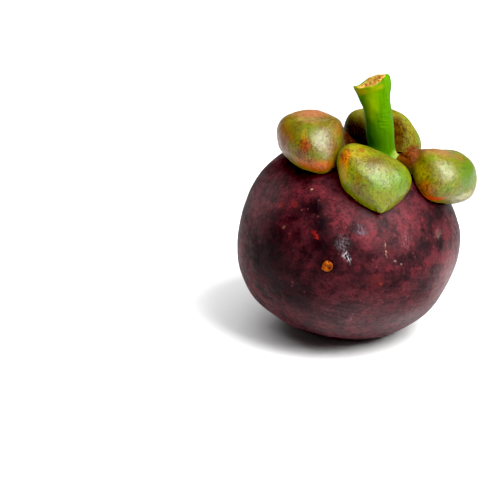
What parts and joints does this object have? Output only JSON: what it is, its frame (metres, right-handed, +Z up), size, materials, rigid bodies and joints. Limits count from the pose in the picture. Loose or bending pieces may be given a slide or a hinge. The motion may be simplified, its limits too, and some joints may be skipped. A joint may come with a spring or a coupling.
{
  "type": "mangosteen",
  "caption": "Whole mangosteen: a round leathery fruit with hooded sepals round a stout cut stalk, and a lobed stigma rosette underneath.",
  "frame": {"origin": "centre of the small flat spot that the fruit stands on", "axes": "+Z up, away from the surface it stands on; the stalk end leans towards +X; -Y is the front"},
  "size_m": [0.0664, 0.0616, 0.0759],
  "materials": {
    "rind": "dark maroon, waxy satin",
    "sepal": "yellow-green flushed with orange-brown, satin",
    "stalk": "fresh green, satin",
    "stigma_rosette": "dry brown, matt"
  },
  "bodies": {
    "root": {"rind": "rind", "stalk": "stalk", "sepal_left": "sepal", "sepal_front": "sepal", "sepal_right": "sepal", "sepal_back": "sepal", "stigma_rosette": "stigma_rosette"}
  },
  "joints": []
}
